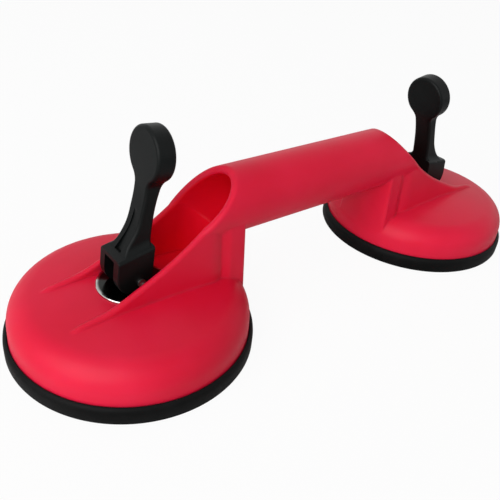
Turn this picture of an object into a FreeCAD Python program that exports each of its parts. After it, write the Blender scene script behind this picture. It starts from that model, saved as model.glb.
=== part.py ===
# Floor tile suction lifter: two rubber suction cups under one moulded housing with a tubular handle.
# A cam lever over each cup lifts the middle of its rubber pad through a stem.
# Millimetres, +Z up, X along the handle, origin on the floor midway between the cups.

import FreeCAD, Part
import math
import os
from FreeCAD import Vector

os.makedirs("parts", exist_ok=True)

UP = Vector(0, 0, 1)
ALONG = Vector(1, 0, 0)
ACROSS = Vector(0, 1, 0)
ORIGIN = Vector(0, 0, 0)

# Overall
cup_spacing = 215.0
wall = 3.0

# Rubber pad
pad_radius = 60.0
pad_edge_round = 1.8
pad_lip_top = 8.8
pad_lip_width = 2.0
pad_ledge = 5.0
pad_web = 3.6
pad_dish = 1.0
pad_flat_ring = 12.0
pad_boss_radius = 24.0
pad_boss_top = 8.0
pad_fit = 0.2
pad_ledge_step = 1.0
pad_slope = 2.0

# Dome of the housing
crown_top = 29.0
crown_flat_radius = 19.0
crown_drop = 3.9
crown_bulge = 0.75
dome_setback = 0.8
dome_round = 12.5

# Column, trough and handle
handle_height = 60.8
handle_radius = 17.0
handle_wall = 4.0
column_setback = 1.45
column_draft = 0.067
trough_bottom = 20.0
column_face_setback = 0.4
column_face_draft = 0.034
column_corner_round = 1.2
trough_end_centre = 33.0
rib_thickness = 3.3
rim_round = 1.5
rib_tip = 38.7
rib_tip_drop = 2.0
rib_tip_fall = 2.5
valley_depth = 1.7
valley_start = 40.2
valley_end = 44.8
core_width = 26.0
mouth_overhang = 1.3
mouth_reach = 54.3
# Shares of the run and the rise from the ribs' tip to the top of the handle's mouth
rim_sweep = ((0, 0), (0.19, 0.081), (0.346, 0.188), (0.491, 0.306), (0.642, 0.463), (0.771, 0.631),
             (0.894, 0.817), (1, 1))

# Underside of the dome
guide_boss_radius = 7.5
guide_boss_drop = 6.0
stiffener_count = 8
stiffener_thickness = 2.0
stiffener_drop = 7.0
stiffener_start = 14.0

# Stem, backing plate and spring
stem_radius = 3.4
stem_fit = 0.08
stem_foot_radius = 6.0
stem_foot_thickness = 2.0
plate_radius = 22.0
plate_thickness = 2.0
seat_outer_radius = 12.0
seat_thickness = 1.5
seat_fit = 0.1
spring_mean_radius = 9.6
spring_wire = 1.5
spring_turns = 4.25

# Washer under the cam
washer_radius = 16.8
washer_thickness = 1.2
washer_hole_radius = 4.2
washer_chamfer = 0.3

# Cam lever
pin_radius = 2.0
pin_fit = 0.05
pin_stand_out = 1.0
pin_dimple_radius = 1.1
pin_dimple_depth = 0.8
cam_bottom = 4.5
cam_reach = 12.0
cam_back = 5.6
cam_gap = 0.05
heel_round = 2.5
block_width = 18.2
block_front_height = 12.7
block_back_height = 18.0
slot_width = 8.8
slot_top = 10.9
slot_clearance = 0.3
shank_width = 11.6
# Side of the shank, as distance from the pin along X and Z
shank_front = ((-9.4, 12.2), (-8.4, 14.0), (-6.0, 18.3), (-2.6, 25.2), (-0.7, 34.0))
shank_back = ((8.4, 46.3), (6.4, 37.0), (5.6, 28.0), (5.3, 14.0))
shoulder_height = 26.0
shoulder_round = 1.6
flare_round = 4.0
head_radius = 12.8
head_height = 59.1
head_front = 0.4
head_thickness = 9.2
head_round = 1.6
cheek_round = 0.6
neck_round = 6.0
block_round = 1.0
slot_corner = 2.5
groove_foot_width = 5.0
groove_foot_depth = 1.5
groove_tip_width = 2.0
front_lean = 5.5
rear_lean = 10.0

# Sizes that follow from the ones above
crown_inside = crown_top - wall
rim_radius = pad_radius - pad_lip_width - pad_fit
dome_shoulder_radius = rim_radius - dome_setback
column_half_width = handle_radius - column_setback
handle_top = handle_height + handle_radius
washer_top = crown_top + washer_thickness
pin_rest_height = 5.1
pin_height = washer_top + pin_rest_height
lift = cam_reach + cam_gap - pin_rest_height
bore_radius = handle_radius - handle_wall
plate_bottom = pad_boss_top
plate_top = plate_bottom + plate_thickness
seat_bottom = crown_inside - seat_thickness
stem_bottom = plate_bottom - stem_foot_thickness


def outer_half_width(height):
    """Half width of the column's drafted outside at a height."""
    return column_half_width + column_draft * (handle_height - height)


def face_from(edges):
    return Part.Face(Part.Wire(edges))


def polygon_face(points):
    return Part.Face(Part.makePolygon(points + [points[0]]))


def spline(points, first=None, last=None):
    """Smooth curve through points, with its first and last direction if given."""
    curve = Part.BSplineCurve()
    if first:
        curve.interpolate(Points=points, InitialTangent=first, FinalTangent=last)
    else:
        curve.interpolate(points)
    return curve.toShape()


def ring(inner, outer, bottom, height):
    body = Part.makeCylinder(outer, height, Vector(0, 0, bottom))
    return body.cut(Part.makeCylinder(inner, height, Vector(0, 0, bottom)))


def edges_where(shape, test):
    return [edge for edge in shape.Edges if not edge.Degenerated and test(edge)]


def fillet_where(shape, radius, test):
    return shape.makeFillet(radius, edges_where(shape, test))


def circle_edge_at(radius, height):
    """Test for the full circle about the Z axis with this radius and height."""
    def test(edge):
        curve = edge.Curve
        return (
            isinstance(curve, Part.Circle)
            and abs(curve.Radius - radius) < 0.01
            and abs(curve.Center.z - height) < 0.01
        )
    return test


def dome_solid(inset):
    """The dome's outside, or its inside when inset by the wall."""
    top = crown_top - inset
    shoulder = dome_shoulder_radius - inset
    rim = rim_radius - inset
    start = Vector(crown_flat_radius, 0, top)
    middle = Vector((crown_flat_radius + shoulder) / 2, 0, top - crown_drop / 2 + crown_bulge)
    corner = Vector(shoulder, 0, top - crown_drop)
    foot = Vector(rim, 0, pad_ledge)
    profile = face_from([
        Part.makeLine(Vector(0, 0, top), start),
        Part.Arc(start, middle, corner).toShape(),
        Part.makeLine(corner, foot),
        Part.makeLine(foot, Vector(0, 0, pad_ledge)),
        Part.makeLine(Vector(0, 0, pad_ledge), Vector(0, 0, top)),
    ])
    solid = profile.revolve(ORIGIN, UP, 360)
    return fillet_where(solid, dome_round - inset, circle_edge_at(shoulder, top - crown_drop))


def drafted_prism(half_width_at_handle, start, end, bottom, top):
    """Straight body along X whose sides lean in towards the handle."""
    low = half_width_at_handle + column_draft * (handle_height - bottom)
    high = half_width_at_handle + column_draft * (handle_height - top)
    section = polygon_face([
        Vector(start, -low, bottom), Vector(start, low, bottom),
        Vector(start, high, top), Vector(start, -high, top),
    ])
    return section.extrude(Vector(end - start, 0, 0))


def drafted_round(half_width_at_handle, centre, bottom, top):
    """Upright round body with the same draft."""
    low = half_width_at_handle + column_draft * (handle_height - bottom)
    high = half_width_at_handle + column_draft * (handle_height - top)
    return Part.makeCone(low, high, top - bottom, Vector(centre, 0, bottom))


def side_outline(end):
    """Everything under the swept top edge of the ribs and the handle's scooped end."""
    tip = Vector(-rib_tip, 0, crown_top - rib_tip_drop)
    mouth_top = Vector(mouth_reach, 0, handle_top + mouth_overhang)
    tip_end = tip - Vector(wall, 0, rib_tip_fall)
    rise = mouth_top - tip
    top_edge = spline([tip_end] + [tip + Vector(along * rise.x, 0, up * rise.z) for along, up in rim_sweep])
    ceiling = mouth_top.z + wall
    corners = [mouth_top, Vector(mouth_reach, 0, ceiling), Vector(end, 0, ceiling), Vector(end, 0, 0),
               Vector(tip_end.x, 0, 0), tip_end]
    sides = [Part.makeLine(a, b) for a, b in zip(corners, corners[1:])]
    outline = face_from([top_edge] + sides)
    outline.translate(Vector(0, -pad_radius, 0))
    return outline.extrude(Vector(0, 2 * pad_radius, 0))


def valley_tool(side):
    """Upright notch beside the trough's round end, where the rib meets the column."""
    run = valley_end - valley_start
    step = side * valley_depth

    def plan(height):
        edge = side * outer_half_width(height)
        return Part.makePolygon([
            Vector(trough_end_centre, edge + step, height), Vector(valley_end + run, edge + step, height),
            Vector(valley_start - run, edge - 2 * step, height), Vector(trough_end_centre, edge - 2 * step, height),
            Vector(trough_end_centre, edge + step, height),
        ])
    tool = Part.makeLoft([plan(pad_ledge), plan(handle_height)], True)
    return tool.cut(drafted_round(column_half_width, trough_end_centre, 0, handle_height + wall))


def inner_face_round(inset):
    """Upright cone about the cup: the column's inner face carries the dome's wall up to the handle."""
    foot = rim_radius - column_face_setback - inset
    height = handle_height - pad_ledge
    return Part.makeCone(foot, foot - column_face_draft * height, height, Vector(0, 0, pad_ledge))


def rim_edges(shape):
    """Edges of the swept rim that runs along the ribs and round the scooped end of the handle."""
    chosen = []
    for face in shape.Faces:
        if isinstance(face.Surface, Part.SurfaceOfExtrusion):
            chosen += [edge for edge in face.Edges if edge.BoundBox.XMax > -rib_tip]
    return chosen


def column_and_handle(reach):
    """One column with its ribs and trough, and the handle's half as far as reach."""
    column = drafted_prism(column_half_width, -rib_tip - 2 * wall, rim_radius, pad_ledge, handle_height)
    column = column.common(inner_face_round(0))
    column = fillet_where(column, column_corner_round, lambda edge: edge.BoundBox.XMin > trough_end_centre
                          and edge.BoundBox.ZLength > handle_height / 2)
    for side in (1, -1):
        column = column.cut(valley_tool(side))
    handle = Part.makeCylinder(handle_radius, reach, Vector(reach, 0, handle_height), -ALONG)
    upper = column.fuse(handle).common(side_outline(reach))
    inner = column_half_width - rib_thickness
    trough = drafted_prism(inner, -pad_radius, trough_end_centre, trough_bottom, handle_height)
    trough = trough.fuse(drafted_round(inner, trough_end_centre, trough_bottom, handle_height))
    bore = Part.makeCylinder(bore_radius, reach + pad_radius, Vector(reach, 0, handle_height), -ALONG)
    upper = upper.cut(trough.fuse(bore)).removeSplitter()
    return upper.makeFillet(rim_round, rim_edges(upper))


def column_core():
    """Hollow inside the column, open to the dome below, that keeps its walls even."""
    top = handle_height - handle_radius
    block = Part.makeBox(
        rim_radius - trough_end_centre, core_width, top - pad_ledge,
        Vector(trough_end_centre, -core_width / 2, pad_ledge),
    )
    core = block.common(inner_face_round(wall))
    return core.cut(drafted_round(column_half_width, trough_end_centre, 0, handle_height))


def stiffener(turn):
    """One upright web under the dome, from the guide boss to the side wall."""
    web = Part.makeBox(
        rim_radius - stiffener_start, stiffener_thickness, stiffener_drop + wall,
        Vector(stiffener_start, -stiffener_thickness / 2, crown_inside - stiffener_drop),
    )
    web.rotate(ORIGIN, UP, turn)
    return web


def cup_inside():
    """The dome's hollow, less the guide boss and the webs that stand in it."""
    hollow = dome_solid(wall)
    boss = Part.makeCylinder(guide_boss_radius, guide_boss_drop + wall,
                             Vector(0, 0, crown_inside - guide_boss_drop))
    hollow = hollow.cut(boss)
    step = 360 / stiffener_count
    for index in range(stiffener_count):
        hollow = hollow.cut(stiffener(step * (index + 0.5)))
    return hollow


def housing_half(reach):
    """One dome with its column and the handle's half."""
    half = dome_solid(0).fuse(column_and_handle(reach))
    half = half.cut(cup_inside()).cut(column_core())
    seat = Part.makeCylinder(washer_radius + pad_fit, washer_thickness + pad_fit, Vector(0, 0, crown_top))
    passage = Part.makeCylinder(stem_radius + stem_fit, handle_height)
    return half.cut(seat).cut(passage)


def pad():
    """Rubber suction pad: a lip that grips the dome's foot, a thin web and a boss in the middle."""
    lip_inner = pad_radius - pad_lip_width
    ledge_inner = rim_radius - wall - pad_ledge_step
    flat_start = pad_radius - pad_flat_ring
    recess = stem_foot_radius + pad_fit
    dish_middle = Vector(flat_start / 2, 0, pad_dish * 0.7)
    points = [
        Vector(flat_start, 0, 0), Vector(pad_radius, 0, 0), Vector(pad_radius, 0, pad_lip_top),
        Vector(lip_inner, 0, pad_lip_top), Vector(lip_inner, 0, pad_ledge), Vector(ledge_inner, 0, pad_ledge),
        Vector(ledge_inner - pad_slope, 0, pad_web), Vector(pad_boss_radius + pad_slope, 0, pad_web),
        Vector(pad_boss_radius, 0, pad_boss_top), Vector(recess, 0, pad_boss_top),
        Vector(recess, 0, stem_bottom - pad_fit), Vector(0, 0, stem_bottom - pad_fit), Vector(0, 0, pad_dish),
    ]
    edges = [Part.makeLine(a, b) for a, b in zip(points, points[1:])]
    edges.append(Part.Arc(points[-1], dish_middle, points[0]).toShape())
    solid = face_from(edges).revolve(ORIGIN, UP, 360)
    solid = fillet_where(solid, pad_edge_round, circle_edge_at(pad_radius, pad_lip_top))
    return fillet_where(solid, pad_edge_round / 2, circle_edge_at(pad_radius, 0))


def backing_plate():
    """Steel disc bonded on the pad's boss."""
    plate = ring(stem_radius, plate_radius, plate_bottom, plate_thickness)
    return fillet_where(plate, plate_thickness / 3, circle_edge_at(plate_radius, plate_top))


def stem():
    """Round stud with a foot under the plate and a cross-drilled, rounded head."""
    foot = Part.makeCylinder(stem_foot_radius, stem_foot_thickness, Vector(0, 0, stem_bottom))
    shank = Part.makeCylinder(stem_radius, pin_height - stem_bottom, Vector(0, 0, stem_bottom))
    head = Part.makeSphere(stem_radius, Vector(0, 0, pin_height))
    eye = Part.makeCylinder(pin_radius + pin_fit, 4 * stem_radius, Vector(0, -2 * stem_radius, pin_height), ACROSS)
    return foot.fuse(shank).fuse(head).removeSplitter().cut(eye)


def spring_seat():
    return ring(guide_boss_radius + seat_fit, seat_outer_radius, seat_bottom, seat_thickness)


def return_spring():
    """Round wire coil between the backing plate and the spring seat."""
    bottom = plate_top + spring_wire / 2 + cam_gap
    top = seat_bottom - spring_wire / 2 - cam_gap
    pitch = (top - bottom) / spring_turns
    helix = Part.makeHelix(pitch, top - bottom, spring_mean_radius)
    helix.translate(Vector(0, 0, bottom))
    section = Part.Wire(Part.makeCircle(spring_wire / 2, Vector(spring_mean_radius, 0, bottom), ACROSS))
    return Part.Wire(helix).makePipeShell([section], True, True)


def cam_washer():
    body = ring(washer_hole_radius, washer_radius, crown_top, washer_thickness)
    rims = edges_where(body, circle_edge_at(washer_radius, washer_top))
    return body.makeChamfer(washer_chamfer, rims)


def cam_outline():
    """Side of the cam block: the lift it gives is in proportion to the lever's turn.

    Support distance from the pin, at a turn from upright, is reach - rate * (quarter turn - turn).
    """
    rate = lift / math.radians(90 + front_lean)

    def touch(turn):
        support = cam_reach - rate * (math.pi / 2 - turn)
        out = support * math.sin(turn) + rate * math.cos(turn)
        drop = support * math.cos(turn) - rate * math.sin(turn)
        return Vector(-out, 0, -drop)

    steps = 8
    curve = [touch(math.pi / 2 * index / steps) for index in range(steps + 1)]
    first, last = curve[0], curve[-1]
    corners = [last, Vector(last.x, 0, block_front_height), Vector(cam_back, 0, block_back_height),
               Vector(cam_back, 0, first.z), first]
    sides = [Part.makeLine(a, b) for a, b in zip(corners, corners[1:])]
    return face_from([spline(curve)] + sides)


def across(face, width):
    """Body of a side outline, centred across the lever."""
    face = face.copy()
    face.translate(Vector(0, -width / 2, 0))
    return face.extrude(Vector(0, width, 0))


def cam_block():
    """Block that turns on the pin, with a slot for the stem down its outer face."""
    block = across(cam_outline(), block_width)
    under = Part.makeBox(4 * cam_reach, 2 * block_width, cam_reach,
                         Vector(-2 * cam_reach, -block_width, -cam_bottom - cam_reach))
    block = block.cut(under)
    heel = edges_where(block, lambda edge: edge.BoundBox.XMin > cam_back - 0.01
                       and edge.BoundBox.ZMax < -cam_bottom + 0.01)
    block = block.makeFillet(heel_round, heel)
    corners = edges_where(block, lambda edge: edge.BoundBox.ZMin > block_front_height - 0.01
                          and edge.BoundBox.YLength < 0.01)
    return block.makeFillet(block_round, corners)


def stem_slot():
    """Room for the stem's head through the lever's turn."""
    near = stem_radius + slot_clearance
    low = -cam_bottom - wall
    mouth = -cam_reach - wall
    slot = polygon_face([
        Vector(mouth, 0, slot_top), Vector(near - slot_corner, 0, slot_top),
        Vector(near, 0, slot_top - slot_corner), Vector(near, 0, 0),
        Vector(near - low * math.tan(math.radians(rear_lean)), 0, low), Vector(mouth, 0, low),
    ])
    return across(slot, slot_width)


def shank_outline():
    """Side of the shank and head: the outer face sweeps in and up, the back is nearly straight."""
    back_face = head_front + head_thickness
    top = head_height + head_radius + wall
    face_start = Vector(head_front, 0, head_height - head_radius)
    back_start = Vector(back_face, 0, head_height - head_radius / 2)
    front_points = [Vector(x, 0, z) for x, z in shank_front]
    back_points = [Vector(x, 0, z) for x, z in shank_back]
    outer = spline(front_points + [face_start], front_points[1] - front_points[0], UP)
    back = spline([back_start] + back_points, -UP, back_points[-1] - back_points[-2])
    corners = [face_start, Vector(head_front, 0, top), Vector(back_face, 0, top), back_start]
    sides = [Part.makeLine(a, b) for a, b in zip(corners, corners[1:])]
    base = Part.makeLine(back_points[-1], front_points[0])
    return face_from([outer] + sides + [back, base])


def head_and_neck():
    """Round head and straight shank as seen from the front, with a concave neck between them."""
    depth = 2 * head_radius
    head = Part.makeCylinder(head_radius, depth, Vector(-head_radius, 0, head_height), ALONG)
    strip = Part.makeBox(depth, shank_width, head_height - shoulder_height,
                         Vector(-head_radius, -shank_width / 2, shoulder_height))
    body = head.fuse(strip)
    neck = edges_where(body, lambda edge: edge.BoundBox.XLength > depth / 2
                       and head_height - head_radius < edge.BoundBox.ZMin < head_height)
    return body.makeFillet(neck_round, neck)


def flared_shoulders():
    """Block and lower shank as seen from the front, joined by a flare that runs along the block's sloping top."""
    half_block = block_width / 2
    half_shank = shank_width / 2
    turn = math.acos(1 - (half_block - half_shank) / (flare_round + shoulder_round))
    rise = (flare_round + shoulder_round) * math.sin(turn)
    slope = Vector(cam_back + cam_reach, 0, block_back_height - block_front_height)
    start = Vector(-cam_reach, 0, block_front_height) - slope
    low = start.z - shoulder_round
    foot = -2 * block_back_height

    def arc(centre, radius, begin, end, side):
        return [Vector(start.x, side * (centre[0] + radius * math.cos(a)), centre[1] + radius * math.sin(a))
                for a in (begin, (begin + end) / 2, end)]

    shoulder_centre = (half_block - shoulder_round, low)
    flare_centre = (half_shank + flare_round, low + rise)
    edges = []
    ends = []
    for side in (1, -1):
        convex = arc(shoulder_centre, shoulder_round, 0, turn, side)
        concave = arc(flare_centre, flare_round, math.pi + turn, math.pi, side)
        edges += [Part.Arc(*convex).toShape(), Part.Arc(*concave).toShape()]
        ends.append((convex[0], concave[-1]))
    (right_low, right_high), (left_low, left_high) = ends
    lift_up = Vector(0, 0, head_height - right_high.z - 2 * head_radius)
    drop = Vector(0, 0, foot)
    edges += [
        Part.makeLine(right_high, right_high + lift_up), Part.makeLine(right_high + lift_up, left_high + lift_up),
        Part.makeLine(left_high + lift_up, left_high), Part.makeLine(left_low, left_low + drop),
        Part.makeLine(left_low + drop, right_low + drop), Part.makeLine(right_low + drop, right_low),
    ]
    section = Part.Face(Part.Wire(Part.__sortEdges__(edges)))
    return section.extrude(slope * 3)


def groove():
    """Tapered groove up the outer face of the lower shank, between two ridges."""
    run = shank_front[1:]
    sections = []
    for index, (face, height) in enumerate(run):
        share = index / (len(run) - 1)
        half = (groove_foot_width + (groove_tip_width - groove_foot_width) * share) / 2
        floor = face + groove_foot_depth * (1 - share)
        sections.append(Part.makePolygon([
            Vector(-2 * cam_reach, -2 * half, height), Vector(-2 * cam_reach, 2 * half, height),
            Vector(floor, half, height), Vector(floor, -half, height), Vector(-2 * cam_reach, -2 * half, height),
        ]))
    return Part.makeLoft(sections, True)


def ridge_edges(body):
    """Long edges of the shank and head: down to the block on the outer face, to the flare on the back."""
    back_low = block_back_height + shoulder_round

    def ridge(edge):
        box = edge.BoundBox
        low = block_front_height if box.XMax < head_front + head_round else back_low
        return box.ZLength > head_round / 10 and box.ZMin > low and box.ZMax > back_low
    return edges_where(body, ridge)


def lever():
    """Cam lever, standing upright about the pin at the origin, outer face towards -X."""
    plan = flared_shoulders().fuse(head_and_neck()).removeSplitter()
    body = plan.common(across(shank_outline(), 2 * head_radius).fuse(cam_block())).removeSplitter()
    body = body.makeFillet(head_round, ridge_edges(body))
    body = fillet_where(body, cheek_round, lambda edge: edge.BoundBox.XLength + edge.BoundBox.YLength < 0.01
                        and edge.BoundBox.XMax < -cam_reach + 0.1)
    hole = Part.makeCylinder(pin_radius, 2 * block_width, Vector(0, -block_width, 0), ACROSS)
    return body.cut(groove()).cut(stem_slot()).cut(hole)


def pin():
    """Pivot pin pressed in the lever, with a dimple in each end."""
    half = block_width / 2 + pin_stand_out
    body = Part.makeCylinder(pin_radius, 2 * half, Vector(0, -half, 0), ACROSS)
    for side in (1, -1):
        body = body.cut(Part.makeCone(pin_dimple_radius, 0, pin_dimple_depth, Vector(0, side * half, 0),
                                      Vector(0, -side, 0)))
    return body


def at_cup(shape, side):
    """A shape modelled at the origin, placed at the front (-1) or rear (+1) cup."""
    placed = shape.copy()
    if side > 0:
        placed.rotate(ORIGIN, UP, 180)
    placed.translate(Vector(side * cup_spacing / 2, 0, 0))
    return placed


def leaning(shape, lean):
    """A lever piece tipped back about the pin and set at the pin's height."""
    tipped = shape.copy()
    tipped.rotate(ORIGIN, ACROSS, lean)
    tipped.translate(Vector(0, 0, pin_height))
    return tipped


def save(shape, node):
    if not shape.isValid():
        raise ValueError(node + " is not a valid shape")
    shape.exportStep("parts/" + node + ".step")


half = housing_half(cup_spacing / 2)
save(at_cup(half, -1).fuse(at_cup(half, 1)).removeSplitter(), "housing")

cup_pieces = {
    "pad": pad(),
    "backing_plate": backing_plate(),
    "stem": stem(),
    "return_spring": return_spring(),
    "spring_seat": spring_seat(),
    "cam_washer": cam_washer(),
}
lever_pieces = {"cam_lever": lever(), "pivot_pin": pin()}

for end, side, lean in (("front", -1, front_lean), ("rear", 1, rear_lean)):
    for name, shape in cup_pieces.items():
        save(at_cup(shape, side), end + "_" + name)
    for name, shape in lever_pieces.items():
        save(at_cup(leaning(shape, lean), side), end + "_" + name)
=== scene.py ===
from math import cos, pi, radians, sin

import bpy
from mathutils import Matrix, Vector


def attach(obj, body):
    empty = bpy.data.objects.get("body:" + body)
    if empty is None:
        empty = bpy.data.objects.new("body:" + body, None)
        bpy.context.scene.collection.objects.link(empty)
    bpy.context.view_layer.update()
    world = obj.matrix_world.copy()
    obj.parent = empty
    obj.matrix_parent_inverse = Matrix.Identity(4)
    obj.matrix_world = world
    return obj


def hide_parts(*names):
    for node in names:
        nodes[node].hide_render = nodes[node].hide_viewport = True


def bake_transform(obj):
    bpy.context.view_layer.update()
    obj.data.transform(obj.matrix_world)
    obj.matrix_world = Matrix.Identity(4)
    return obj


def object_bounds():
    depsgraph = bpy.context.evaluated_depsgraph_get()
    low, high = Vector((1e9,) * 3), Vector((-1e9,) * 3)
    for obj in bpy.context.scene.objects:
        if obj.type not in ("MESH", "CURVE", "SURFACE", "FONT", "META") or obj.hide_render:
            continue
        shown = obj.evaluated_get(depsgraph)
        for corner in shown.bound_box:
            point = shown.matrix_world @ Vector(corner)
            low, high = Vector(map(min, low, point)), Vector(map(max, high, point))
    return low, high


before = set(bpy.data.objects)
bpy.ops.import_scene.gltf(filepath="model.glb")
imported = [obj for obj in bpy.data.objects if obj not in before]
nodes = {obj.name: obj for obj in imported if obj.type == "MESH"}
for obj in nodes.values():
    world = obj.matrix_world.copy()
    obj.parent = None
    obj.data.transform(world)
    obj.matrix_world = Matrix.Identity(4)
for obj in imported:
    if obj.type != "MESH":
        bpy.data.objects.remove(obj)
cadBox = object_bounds()
ends = ("front", "rear")
mm = 0.001
cupOffset = 0.1075
print("frame loaded:", len(nodes), "nodes")


# shader maths

class Wire:
    # one output socket, which joins in sums with numbers and other wires

    def __init__(self, finish, socket):
        self.finish = finish
        self.socket = socket

    def maths(self, operation, *values):
        return self.finish.maths(operation, *values)

    def __add__(self, other):
        return self.maths("ADD", self, other)

    def __radd__(self, other):
        return self.maths("ADD", other, self)

    def __sub__(self, other):
        return self.maths("SUBTRACT", self, other)

    def __rsub__(self, other):
        return self.maths("SUBTRACT", other, self)

    def __mul__(self, other):
        return self.maths("MULTIPLY", self, other)

    def __rmul__(self, other):
        return self.maths("MULTIPLY", other, self)

    def __truediv__(self, other):
        return self.maths("DIVIDE", self, other)

    def __pow__(self, other):
        return self.maths("POWER", self, other)


class Finish:
    # one material and the nodes that make it

    def __init__(self, name):
        self.material = bpy.data.materials.new(name)
        self.material.use_nodes = True
        self.tree = self.material.node_tree
        self.tree.nodes.clear()
        self.output = self.tree.nodes.new("ShaderNodeOutputMaterial")
        place = self.tree.nodes.new("ShaderNodeTexCoord")
        self.place = Wire(self, place.outputs["Object"])

    def add(self, kind, settings=None, sockets=None, out=0):
        node = self.tree.nodes.new(kind)
        for key, value in (settings or {}).items():
            if key == "stops":
                self.setStops(node.color_ramp, value)
            else:
                setattr(node, key, value)
        for key, value in (sockets or {}).items():
            if isinstance(value, Wire):
                self.tree.links.new(value.socket, node.inputs[key])
            else:
                node.inputs[key].default_value = value
        return Wire(self, node.outputs[out])

    def maths(self, operation, *values):
        return self.add("ShaderNodeMath", {"operation": operation}, dict(enumerate(values)))

    def rise(self, value, width):
        # from 0 at nought to 1 at the width
        return self.add("ShaderNodeMath", {"operation": "DIVIDE", "use_clamp": True}, {0: value, 1: width})

    def parts(self, vector):
        node = self.add("ShaderNodeSeparateXYZ", None, {"Vector": vector}).socket.node
        return [Wire(self, output) for output in node.outputs]

    def setStops(self, ramp, stops):
        while len(ramp.elements) < len(stops):
            ramp.elements.new(1)
        for element, (at, value) in zip(ramp.elements, stops):
            element.position = at
            element.color = (*value, 1) if isinstance(value, tuple) else (value, value, value, 1)

    def noise(self, scale, detail=2, roughness=0.5, place=None):
        return self.add("ShaderNodeTexNoise", None, {
            "Vector": place or self.place, "Scale": scale, "Detail": detail, "Roughness": roughness})

    def ramp(self, value, *stops):
        return self.add("ShaderNodeValToRGB", {"stops": stops}, {"Fac": value})

    def mix(self, share, first, second):
        return self.add("ShaderNodeMix", {"data_type": "RGBA"}, {
            0: share, 6: colour(first), 7: colour(second)}, out=2)

    def bump(self, height, strength, distance, after=None):
        sockets = {"Height": height, "Strength": strength, "Distance": distance}
        if after:
            sockets["Normal"] = after
        return self.add("ShaderNodeBump", None, sockets)

    def shade(self, **sockets):
        # the surface: every name is a socket of the shader, with _ for a space
        values = {key.replace("_", " "): value for key, value in sockets.items()}
        values["Base Color"] = colour(values["Base Color"])
        surface = self.add("ShaderNodeBsdfPrincipled", None, values)
        self.tree.links.new(surface.socket, self.output.inputs["Surface"])
        return self.material


def colour(value):
    return (*value, 1) if isinstance(value, tuple) else value


# finishes

redPlasticSet = {
    "deep": (0.67, 0.0062, 0.034), "bright": (0.76, 0.0125, 0.051), "clouds": 14, "cloudEdges": (0.35, 0.65),
    "roughness": 0.40, "cloudRoughness": 0.14, "grainRoughness": 0.10, "ior": 1.49, "shine": 0.17,
    "flow": 90, "flowShare": 0.25, "flowDepth": 0.00025,
    "grain": 1500, "grainShare": 0.35, "grainDepth": 0.00003,
    # moulded corners look rounded to this radius
    "softEdge": 0.0022, "softSamples": 6,
    # light goes this far into the plastic, and red goes furthest
    "carry": 0.25, "carryColour": (1.0, 0.12, 0.12), "carryDepth": 0.006,
    # painted light: the troughs and the handle's bore are painted a brighter, deeper red with a faint glow, for
    # the light they carry from wall to wall
    "hollow": (0.80, 0.0035, 0.020), "paintedBounceGlow": (0.038, 0.0002, 0.0008),
    "troughHalf": 0.0135, "troughFlare": 0.04, "troughFoot": 0.0195, "troughStart": 0.009, "troughEnd": 0.0468,
    "boreHeight": 0.0608, "boreRadius": 0.0137,
    "sideFade": 0.0005, "footFade": 0.001, "startFade": 0.012, "boreFade": 0.0004,
}


def hollows(f):
    # 1 on the walls inside the troughs and the bore, where the painted bounce light goes, 0 outside
    s = redPlasticSet
    along, across, height = f.parts(f.place)
    inward = cupOffset - f.maths("ABSOLUTE", along)
    half = s["troughHalf"] + (s["boreHeight"] - height) * s["troughFlare"]
    trough = f.rise(half - f.maths("ABSOLUTE", across), s["sideFade"])
    trough = trough * f.rise(height - s["troughFoot"], s["footFade"])
    trough = trough * f.rise(inward - s["troughStart"], s["startFade"])
    trough = trough * f.rise(s["troughEnd"] - inward, s["sideFade"])
    trough = trough * f.rise(s["boreHeight"] - height, s["footFade"])
    above = height - s["boreHeight"]
    bore = f.rise(s["boreRadius"] - (across * across + above * above) ** 0.5, s["boreFade"])
    return f.maths("MAXIMUM", trough, bore)


def redPlastic():
    s = redPlasticSet
    f = Finish("red_plastic_moulded")
    clouds = f.noise(s["clouds"], 3, 0.6)
    flow = f.noise(s["flow"], 2, 0.5)
    grain = f.noise(s["grain"], 3, 0.6)
    low, high = s["cloudEdges"]
    hollow = hollows(f)
    tone = f.mix(f.ramp(clouds, (low, 0.0), (high, 1.0)), s["deep"], s["bright"])
    # painted light: a brighter red and a faint emission glow inside the troughs and the bore, for light bounced
    # between their walls
    tone = f.mix(hollow, tone, s["hollow"])
    glow = f.mix(hollow, (0.0, 0.0, 0.0), s["paintedBounceGlow"])
    rough = s["roughness"] + (clouds - 0.5) * s["cloudRoughness"] + (grain - 0.5) * s["grainRoughness"]
    soft = f.add("ShaderNodeBevel", {"samples": s["softSamples"]}, {"Radius": s["softEdge"]})
    normal = f.bump(flow, s["flowShare"], s["flowDepth"], soft)
    normal = f.bump(grain, s["grainShare"], s["grainDepth"], normal)
    return f.shade(Base_Color=tone, Roughness=rough, Normal=normal, IOR=s["ior"], Specular_IOR_Level=s["shine"],
                   Subsurface_Weight=s["carry"], Subsurface_Radius=s["carryColour"],
                   Subsurface_Scale=s["carryDepth"], Emission_Color=glow, Emission_Strength=1.0)


blackPlasticSet = {
    "dark": (0.0022, 0.0028, 0.0028), "light": (0.0046, 0.0058, 0.0058), "clouds": 40, "cloudEdges": (0.35, 0.7),
    "roughness": 0.38, "cloudRoughness": 0.16, "grainRoughness": 0.12, "ior": 1.5, "shine": 0.11,
    "grain": 1800, "grainShare": 0.4, "grainDepth": 0.00003,
}


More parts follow.
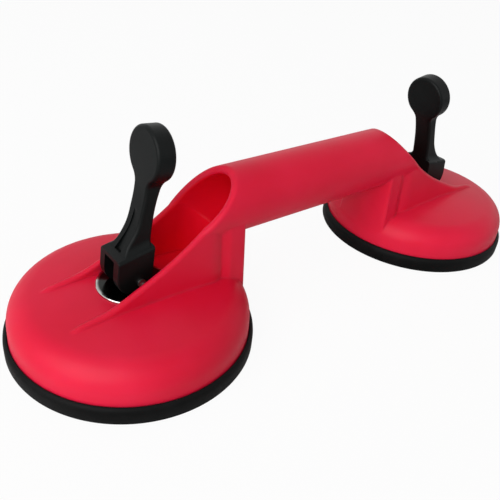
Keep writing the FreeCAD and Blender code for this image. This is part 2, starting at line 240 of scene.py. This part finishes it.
def blackPlastic():
    s = blackPlasticSet
    f = Finish("black_plastic_satin")
    clouds = f.noise(s["clouds"], 3, 0.6)
    grain = f.noise(s["grain"], 3, 0.65)
    low, high = s["cloudEdges"]
    tone = f.mix(f.ramp(clouds, (low, 0.0), (high, 1.0)), s["dark"], s["light"])
    rough = s["roughness"] + (clouds - 0.5) * s["cloudRoughness"] + (grain - 0.5) * s["grainRoughness"]
    normal = f.bump(grain, s["grainShare"], s["grainDepth"])
    return f.shade(Base_Color=tone, Roughness=rough, Normal=normal, IOR=s["ior"], Specular_IOR_Level=s["shine"])


rubberSet = {
    "dark": (0.0016, 0.0018, 0.0018), "dusty": (0.0056, 0.0058, 0.0060), "dust": 60, "dustEdges": (0.45, 0.8),
    "roughness": 0.55, "dustRoughness": 0.2, "ior": 1.52, "shine": 0.08,
    "grain": 2600, "grainShare": 0.5, "grainDepth": 0.00003,
}


def rubber():
    s = rubberSet
    f = Finish("black_rubber")
    dust = f.noise(s["dust"], 4, 0.65)
    grain = f.noise(s["grain"], 2, 0.6)
    low, high = s["dustEdges"]
    tone = f.mix(f.ramp(dust, (low, 0.0), (high, 1.0)), s["dark"], s["dusty"])
    rough = s["roughness"] + (dust - 0.5) * s["dustRoughness"]
    normal = f.bump(grain, s["grainShare"], s["grainDepth"])
    return f.shade(Base_Color=tone, Roughness=rough, Normal=normal, IOR=s["ior"], Specular_IOR_Level=s["shine"])


steelSet = {
    "bright": (0.62, 0.62, 0.60), "dull": (0.44, 0.43, 0.41), "tarnish": 160, "tarnishEdges": (0.4, 0.75),
    "tarnishRoughness": 0.12, "scratches": 900, "scratchStretch": (0.15, 1, 1), "scratchRoughness": 0.06,
    "scratchShare": 0.15, "scratchDepth": 0.00004,
    # painted shade: the washer is painted dark where the cam sits over it, for the cam block's shadow and dark
    # reflection, out to the inner edge, then plain steel from the outer edge
    "camShadeTone": (0.030, 0.033, 0.031), "camShadeEdge": 0.0152, "plainSteelEdge": 0.0163,
}


def steel(name, tint, roughness, shadeUnderCam=False):
    s = steelSet
    f = Finish(name)
    tarnish = f.noise(s["tarnish"], 4, 0.6)
    stretched = f.add("ShaderNodeMapping", None, {"Vector": f.place, "Scale": s["scratchStretch"]})
    scratches = f.noise(s["scratches"], 3, 0.7, stretched)
    bright = tuple(part * tint for part in s["bright"])
    dull = tuple(part * tint for part in s["dull"])
    low, high = s["tarnishEdges"]
    tone = f.mix(f.ramp(tarnish, (low, 0.0), (high, 1.0)), bright, dull)
    # painted shade and reflection: the steel under the cam is painted dark, fading out to plain steel
    if shadeUnderCam:
        along, across = f.parts(f.place)[:2]
        offset = f.maths("ABSOLUTE", along) - cupOffset
        radius = (offset * offset + across * across) ** 0.5
        unshaded = f.ramp(radius / s["plainSteelEdge"], (s["camShadeEdge"] / s["plainSteelEdge"], 0.0), (1.0, 1.0))
        tone = f.mix(unshaded, s["camShadeTone"], tone)
    rough = roughness + (tarnish - 0.5) * s["tarnishRoughness"] + (scratches - 0.5) * s["scratchRoughness"]
    normal = f.bump(scratches, s["scratchShare"], s["scratchDepth"])
    return f.shade(Base_Color=tone, Roughness=rough, Metallic=1.0, Normal=normal)


finishes = {
    "housing": redPlastic(),
    "pad": rubber(),
    "cam_lever": blackPlastic(),
    "steel": steel("zinc_plated_steel", tint=1.0, roughness=0.30),
    "washer": steel("polished_washer_steel", tint=0.85, roughness=0.16, shadeUnderCam=True),
    "spring": steel("spring_steel_wire", tint=0.6, roughness=0.35),
}
print("finishes made:", len(finishes))


def dress(node, finish):
    for slot in nodes[node].material_slots:
        slot.material = finish


dress("housing", finishes["housing"])
for end in ends:
    dress(end + "_pad", finishes["pad"])
    dress(end + "_cam_lever", finishes["cam_lever"])
    dress(end + "_return_spring", finishes["spring"])
    dress(end + "_cam_washer", finishes["washer"])
    for name in ("backing_plate", "stem", "spring_seat", "pivot_pin"):
        dress(end + "_" + name, finishes["steel"])
print("nodes dressed")


# modelling helpers

def openMesh(name):
    # the new object goes into edit mode with all of it selected
    piece = bpy.context.object
    piece.name = name
    bpy.ops.object.mode_set(mode="EDIT")
    bpy.ops.mesh.select_all(action="SELECT")
    return piece


def closeHoles():
    bpy.ops.mesh.select_all(action="DESELECT")
    bpy.ops.mesh.select_mode(type="EDGE")
    bpy.ops.mesh.select_non_manifold()
    bpy.ops.mesh.edge_face_add()


def closeMesh(piece, angle=35):
    bpy.ops.mesh.select_all(action="SELECT")
    bpy.ops.mesh.remove_doubles(threshold=1e-6)
    bpy.ops.mesh.normals_make_consistent(inside=False)
    bpy.ops.object.mode_set(mode="OBJECT")
    bpy.ops.object.transform_apply(location=True, rotation=True, scale=True)
    bpy.ops.object.shade_smooth_by_angle(angle=radians(angle))
    return piece


def turned(name, middle, profile, segments):
    # a body of revolution about an upright line: the first ring is drawn out from point to point
    bpy.ops.object.select_all(action="DESELECT")
    radius, height = profile[0]
    bpy.ops.mesh.primitive_circle_add(vertices=segments, radius=radius, location=(middle, 0, height))
    piece = openMesh(name)
    for nextRadius, nextHeight in profile[1:]:
        bpy.ops.mesh.extrude_edges_move(TRANSFORM_OT_translate={"value": (0, 0, nextHeight - height)})
        share = nextRadius / radius
        bpy.ops.transform.resize(value=(share, share, 1), center_override=(middle, 0, nextHeight))
        radius, height = nextRadius, nextHeight
    # the last point lies on the axis, and the first ring gets a face of its own
    bpy.ops.mesh.select_all(action="SELECT")
    bpy.ops.mesh.remove_doubles(threshold=1e-6)
    closeHoles()
    return closeMesh(piece)


def takeFaces(piece, name, wanted):
    # the faces whose middle passes the test become an object of their own
    bpy.ops.object.select_all(action="DESELECT")
    piece.select_set(True)
    bpy.context.view_layer.objects.active = piece
    bpy.ops.object.mode_set(mode="EDIT")
    bpy.ops.mesh.select_mode(type="FACE")
    bpy.ops.mesh.select_all(action="DESELECT")
    bpy.ops.object.mode_set(mode="OBJECT")
    for face in piece.data.polygons:
        face.select = wanted(face.center)
    bpy.ops.object.mode_set(mode="EDIT")
    bpy.ops.mesh.separate(type="SELECTED")
    bpy.ops.object.mode_set(mode="OBJECT")
    taken = next(other for other in bpy.context.selected_objects if other is not piece)
    taken.name = name
    return taken


# rubber pads: the lip stays on the housing, the boss rises with the stem, and the web between them is cut into
# sectors

padSet = {
    "segments": 144, "sectors": 12, "webOuter": 0.048, "webInner": 0.024, "rings": 8,
    "underRings": (0.006, 0.012), "dish": 0.001,
    # radius and height along the section, in millimetres
    "lip": ((48, 0), (59.2, 0), (59.75, 0.25), (60, 0.8), (60, 5.6), (59.8, 7.0), (59.2, 8.1), (58.5, 8.65),
            (58.1, 8.75), (58, 8.4), (58, 5), (53.8, 5), (51.8, 3.6), (48, 3.6)),
    "boss": ((26, 3.6), (24, 8), (6.2, 8), (6.2, 5.8), (0, 5.8)),
}


def padSection():
    # the outline in metres, from the middle of the underside out, over the lip and in along the top
    s = padSet
    outer, inner, rings = s["webOuter"], s["webInner"], s["rings"]
    lip = [(radius * mm, height * mm) for radius, height in s["lip"]]
    boss = [(radius * mm, height * mm) for radius, height in s["boss"]]
    steps = [outer + (boss[0][0] - outer) * index / rings for index in range(1, rings)]
    top = [(radius, lip[-1][1]) for radius in steps]
    under = []
    for radius in [*s["underRings"], inner] + steps[::-1]:
        under.append((radius, s["dish"] * (1 - (radius / outer) ** 2)))
    return under + lip + top + boss


def makePad(end, side):
    s = padSet
    middle = side * cupOffset
    pad = turned(end + "_pad_web", middle, padSection(), s["segments"])
    pad.data.materials.append(finishes["pad"])
    place = lambda centre: Vector((centre.x - middle, centre.y))
    lip = takeFaces(pad, end + "_pad_lip", lambda centre: place(centre).length > s["webOuter"])
    boss = takeFaces(pad, end + "_pad_boss", lambda centre: place(centre).length < s["webInner"])
    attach(lip, "housing")
    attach(boss, end + "_stem")
    pieces = [lip, boss]
    half = pi / s["sectors"]
    for index in range(s["sectors"]):
        turn = 2 * half * (index + 0.5)
        out = Vector((cos(turn), sin(turn)))
        if index < s["sectors"] - 1:
            sector = takeFaces(pad, end + "_pad_web_" + str(index + 1),
                               lambda centre: place(centre).angle(out) < half)
        else:
            sector = pad
            sector.name = end + "_pad_web_" + str(index + 1)
        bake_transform(sector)
        pieces.append(sector)
    for piece in pieces:
        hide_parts(end + "_pad")


# return springs: a wire coil from its foot at the backing plate up to its head under the housing

springSet = {
    "mean": 0.0096, "wire": 0.00075, "bottom": 0.0108, "top": 0.0237, "turns": 4.25,
    "wireSides": 12, "stepsPerTurn": 32,
}


def makeSpring(end, side):
    s = springSet
    bpy.ops.object.select_all(action="DESELECT")
    bpy.ops.mesh.primitive_circle_add(vertices=s["wireSides"], radius=s["wire"])
    piece = openMesh(end + "_spring_coil")
    bpy.ops.transform.rotate(value=pi / 2, orient_axis="X", center_override=(0, 0, 0))
    bpy.ops.transform.translate(value=(s["mean"], 0, 0))
    bpy.ops.object.mode_set(mode="OBJECT")
    coil = piece.modifiers.new("coil", "SCREW")
    coil.axis = "Z"
    coil.angle = 2 * pi * s["turns"]
    coil.screw_offset = s["top"] - s["bottom"]
    coil.steps = coil.render_steps = round(s["turns"] * s["stepsPerTurn"])
    bpy.ops.object.modifier_apply(modifier="coil")
    piece.location = (side * cupOffset, 0, s["bottom"])
    bpy.ops.object.mode_set(mode="EDIT")
    closeHoles()
    closeMesh(piece)
    piece.data.materials.append(finishes["spring"])
    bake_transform(piece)
    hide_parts(end + "_return_spring")


for end, side in (("front", -1), ("rear", 1)):
    makePad(end, side)
    makeSpring(end, side)
print("pads and springs made")


# camera, floor and light

cameraSet = {
    "place": (-0.214437, -0.202740, 0.201726), "azimuth": 48.61, "elevation": 33.30, "roll": 6.56, "lens": 42.70,
    "near": 0.01,
}


def makeCamera():
    s = cameraSet
    turn, down, roll = (radians(s[key]) for key in ("azimuth", "elevation", "roll"))
    ahead = Vector((cos(down) * cos(turn), cos(down) * sin(turn), -sin(down)))
    level = ahead.cross(Vector((0, 0, 1))).normalized()
    over = level.cross(ahead)
    right = cos(roll) * level + sin(roll) * over
    up = cos(roll) * over - sin(roll) * level
    lens = bpy.data.cameras.new("camera")
    lens.lens = s["lens"]
    lens.clip_start = s["near"]
    camera = bpy.data.objects.new("camera", lens)
    camera.matrix_world = Matrix.Translation(s["place"]) @ Matrix((right, up, -ahead)).transposed().to_4x4()
    bpy.context.scene.collection.objects.link(camera)
    bpy.context.scene.camera = camera


floorSet = {
    "size": 6.0, "drop": 0.0002, "tone": (0.80, 0.80, 0.80), "speckTone": 0.98, "specks": 300, "roughness": 0.9,
    # share of white that the camera sees, the rest keeps the shadow
    "glow": 0.94,
}


def makeFloor():
    s = floorSet
    bpy.ops.object.select_all(action="DESELECT")
    bpy.ops.mesh.primitive_plane_add(size=s["size"], location=(0, 0, -s["drop"]))
    floor = bpy.context.object
    floor.name = "floor"
    f = Finish("pale_floor")
    speck = f.noise(s["specks"], 3, 0.6)
    speckTone = tuple(part * s["speckTone"] for part in s["tone"])
    plain = f.add("ShaderNodeBsdfPrincipled", None, {
        "Base Color": f.mix(speck, s["tone"], speckTone), "Roughness": s["roughness"]})
    seen = f.add("ShaderNodeLightPath", out="Is Camera Ray")
    white = f.add("ShaderNodeEmission", None, {"Color": (1, 1, 1, 1), "Strength": 1.0})
    surface = f.add("ShaderNodeMixShader", None, {0: seen * s["glow"], 1: plain, 2: white})
    f.tree.links.new(surface.socket, f.output.inputs["Surface"])
    floor.data.materials.append(f.material)


lampSet = {
    # direction from the object, distance, size, share of the plain level
    "key": ((-1.00, -0.34, 0.60), 1.3, 1.4, 0.93),
    "fill": ((0.25, -1.00, 0.60), 1.5, 1.2, 0.03),
    "top": ((0.00, 0.30, 1.00), 1.2, 0.9, 0.08),
}
ambient = 0.36  # strength of the light from all round


def makeLamp(name, direction, distance, size, share):
    lamp = bpy.data.lights.new(name, "AREA")
    lamp.shape = "DISK"
    lamp.size = size
    lamp.energy = share * pi * pi * distance * distance  # a share of 1 lights a facing surface at the plain level
    holder = bpy.data.objects.new(name, lamp)
    middle = (cadBox[0] + cadBox[1]) / 2
    back = Vector(direction).normalized()
    holder.location = middle + back * distance
    holder.rotation_mode = "QUATERNION"
    holder.rotation_quaternion = (-back).to_track_quat("-Z", "Y")
    bpy.context.scene.collection.objects.link(holder)


def makeWorld():
    world = bpy.data.worlds.new("studio")
    world.use_nodes = True
    tree = world.node_tree
    tree.nodes.clear()
    paths = tree.nodes.new("ShaderNodeLightPath")
    seen = paths.outputs["Is Camera Ray"]
    for kind in ("Is Glossy Ray", "Is Transmission Ray"):
        both = tree.nodes.new("ShaderNodeMath")
        both.operation = "MAXIMUM"
        tree.links.new(seen, both.inputs[0])
        tree.links.new(paths.outputs[kind], both.inputs[1])
        seen = both.outputs[0]
    soft = tree.nodes.new("ShaderNodeBackground")
    soft.inputs["Strength"].default_value = ambient
    white = tree.nodes.new("ShaderNodeBackground")
    white.inputs["Color"].default_value = (1, 1, 1, 1)
    mixed = tree.nodes.new("ShaderNodeMixShader")
    tree.links.new(seen, mixed.inputs[0])
    tree.links.new(soft.outputs[0], mixed.inputs[1])
    tree.links.new(white.outputs[0], mixed.inputs[2])
    output = tree.nodes.new("ShaderNodeOutputWorld")
    tree.links.new(mixed.outputs[0], output.inputs["Surface"])
    bpy.context.scene.world = world


makeCamera()
makeFloor()
for name, values in lampSet.items():
    makeLamp(name, *values)
makeWorld()
bpy.context.scene.view_settings.view_transform = "Standard"
print("camera, floor and light placed")
